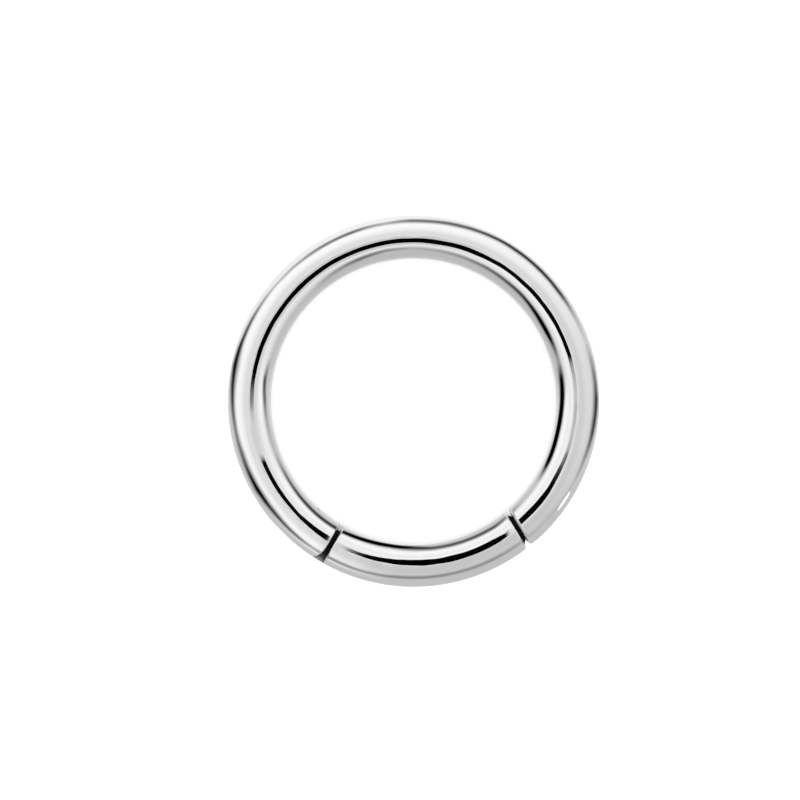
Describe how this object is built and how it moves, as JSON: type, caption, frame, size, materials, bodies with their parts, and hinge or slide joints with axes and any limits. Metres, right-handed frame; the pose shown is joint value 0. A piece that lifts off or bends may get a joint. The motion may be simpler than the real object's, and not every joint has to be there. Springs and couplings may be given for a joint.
{
  "type": "hinged segment ring",
  "caption": "Round wire body-jewellery ring with a segment that swings open on a cross pin and clicks shut, shown closed and lying on its side.",
  "frame": {"origin": "centre of the ring on the surface that it lies on, at the wire's lowest point", "axes": "+Z along the ring's axis, up from the surface; the middle of the swinging segment is at -Y, its hinge towards -X and its clasp towards +X"},
  "size_m": [0.0104, 0.0104, 0.0012],
  "materials": {
    "polished_steel": "polished",
    "pin_steel": "polished"
  },
  "bodies": {
    "ring": {"ring_arc": "polished_steel", "hinge_pin": "pin_steel"},
    "segment": {"segment_arc": "polished_steel"}
  },
  "joints": [
    {"name": "segment_swing", "type": "hinge", "parent": "ring", "child": "segment", "pos_m": [-0.0033, -0.00343, 0.0006], "axis": [0, 0, -1], "range_deg": [0, 120]}
  ]
}
